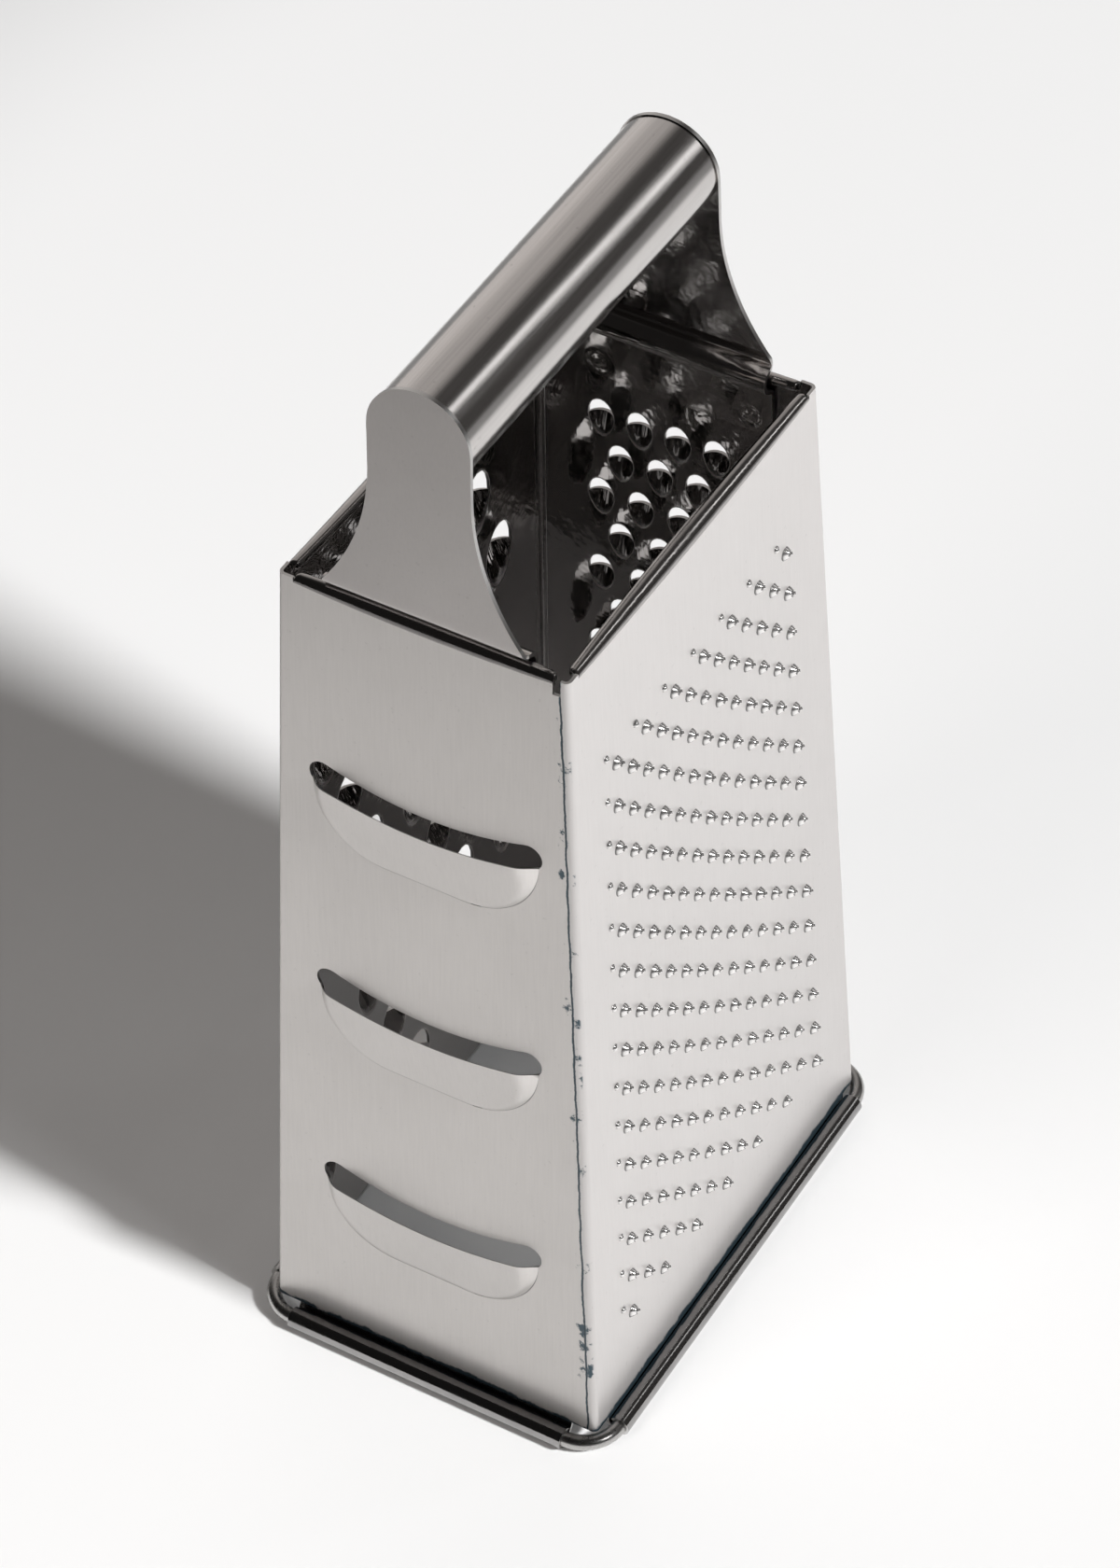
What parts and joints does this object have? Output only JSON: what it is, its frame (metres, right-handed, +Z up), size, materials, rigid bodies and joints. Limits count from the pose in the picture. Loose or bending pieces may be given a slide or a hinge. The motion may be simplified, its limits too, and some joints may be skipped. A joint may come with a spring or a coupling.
{
  "type": "box grater",
  "caption": "Tapered four-sided stainless steel box grater with fine, medium, coarse and slicing faces, rolled rim and foot, and a tube handle on two stamped uprights.",
  "frame": {"origin": "centre of the foot ring's outline, on the surface that the grater stands on", "axes": "+Z up to the handle; +X towards the narrow face with the medium teeth, -X towards the slicer face; -Y towards the wide face with the fine teeth, +Y towards the coarse teeth"},
  "size_m": [0.1126, 0.0794, 0.2389],
  "materials": {
    "satin_sheet": "satin",
    "brushed_sheet": "brushed lengthwise",
    "wire_steel": "drawn wire",
    "upright_steel": "satin",
    "tube_steel": "brushed round the tube"
  },
  "bodies": {
    "root": {"fine_medium_sheet": "satin_sheet", "slicer_coarse_sheet": "brushed_sheet", "base_ring": "wire_steel", "slicer_upright": "upright_steel", "medium_upright": "upright_steel", "handle_tube": "tube_steel"}
  },
  "joints": []
}
